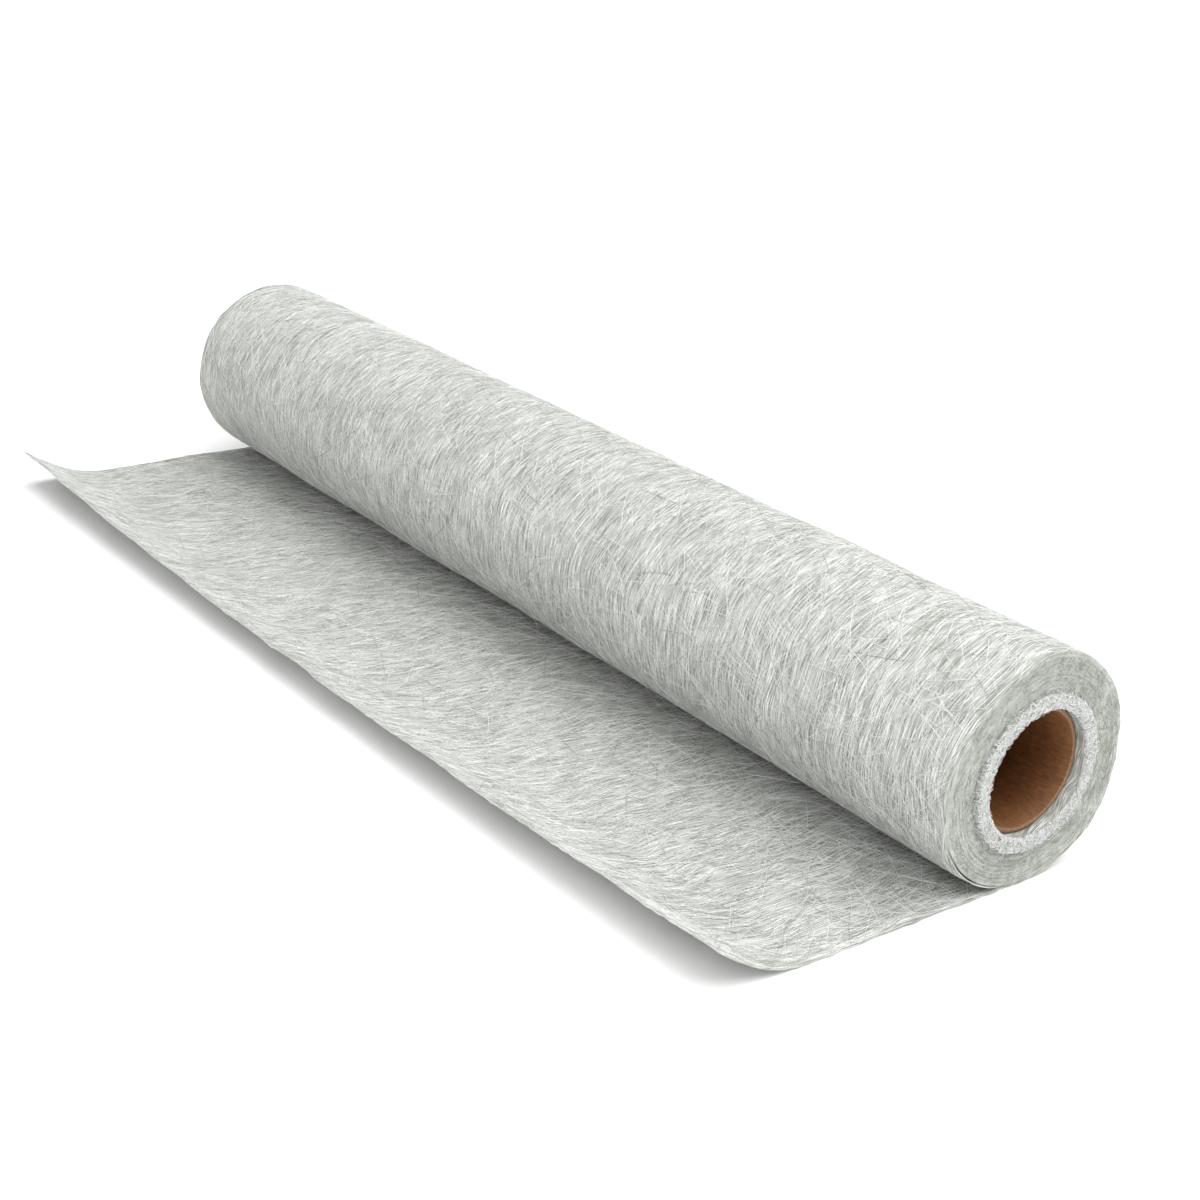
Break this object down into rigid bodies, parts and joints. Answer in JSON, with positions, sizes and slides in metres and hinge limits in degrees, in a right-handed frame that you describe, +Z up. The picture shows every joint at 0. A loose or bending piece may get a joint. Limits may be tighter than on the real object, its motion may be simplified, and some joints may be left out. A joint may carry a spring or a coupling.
{
  "type": "roll of fiberglass mat",
  "caption": "Chopped-strand fiberglass mat wound on a paper tube, lying on its side with its loose end drawn out flat and curling up at the free edge.",
  "frame": {"origin": "on the floor, under the middle of the whole object's bounding box", "axes": "+X along the roll's axis, towards the end whose inner turns stand proud; +Z up; the loose end is drawn out towards -Y"},
  "size_m": [0.917, 0.317, 0.1495],
  "materials": {
    "glass_mat": "satin",
    "core_paper": "matte"
  },
  "bodies": {
    "root": {"fiberglass_mat": "glass_mat", "core_tube": "core_paper"}
  },
  "joints": []
}
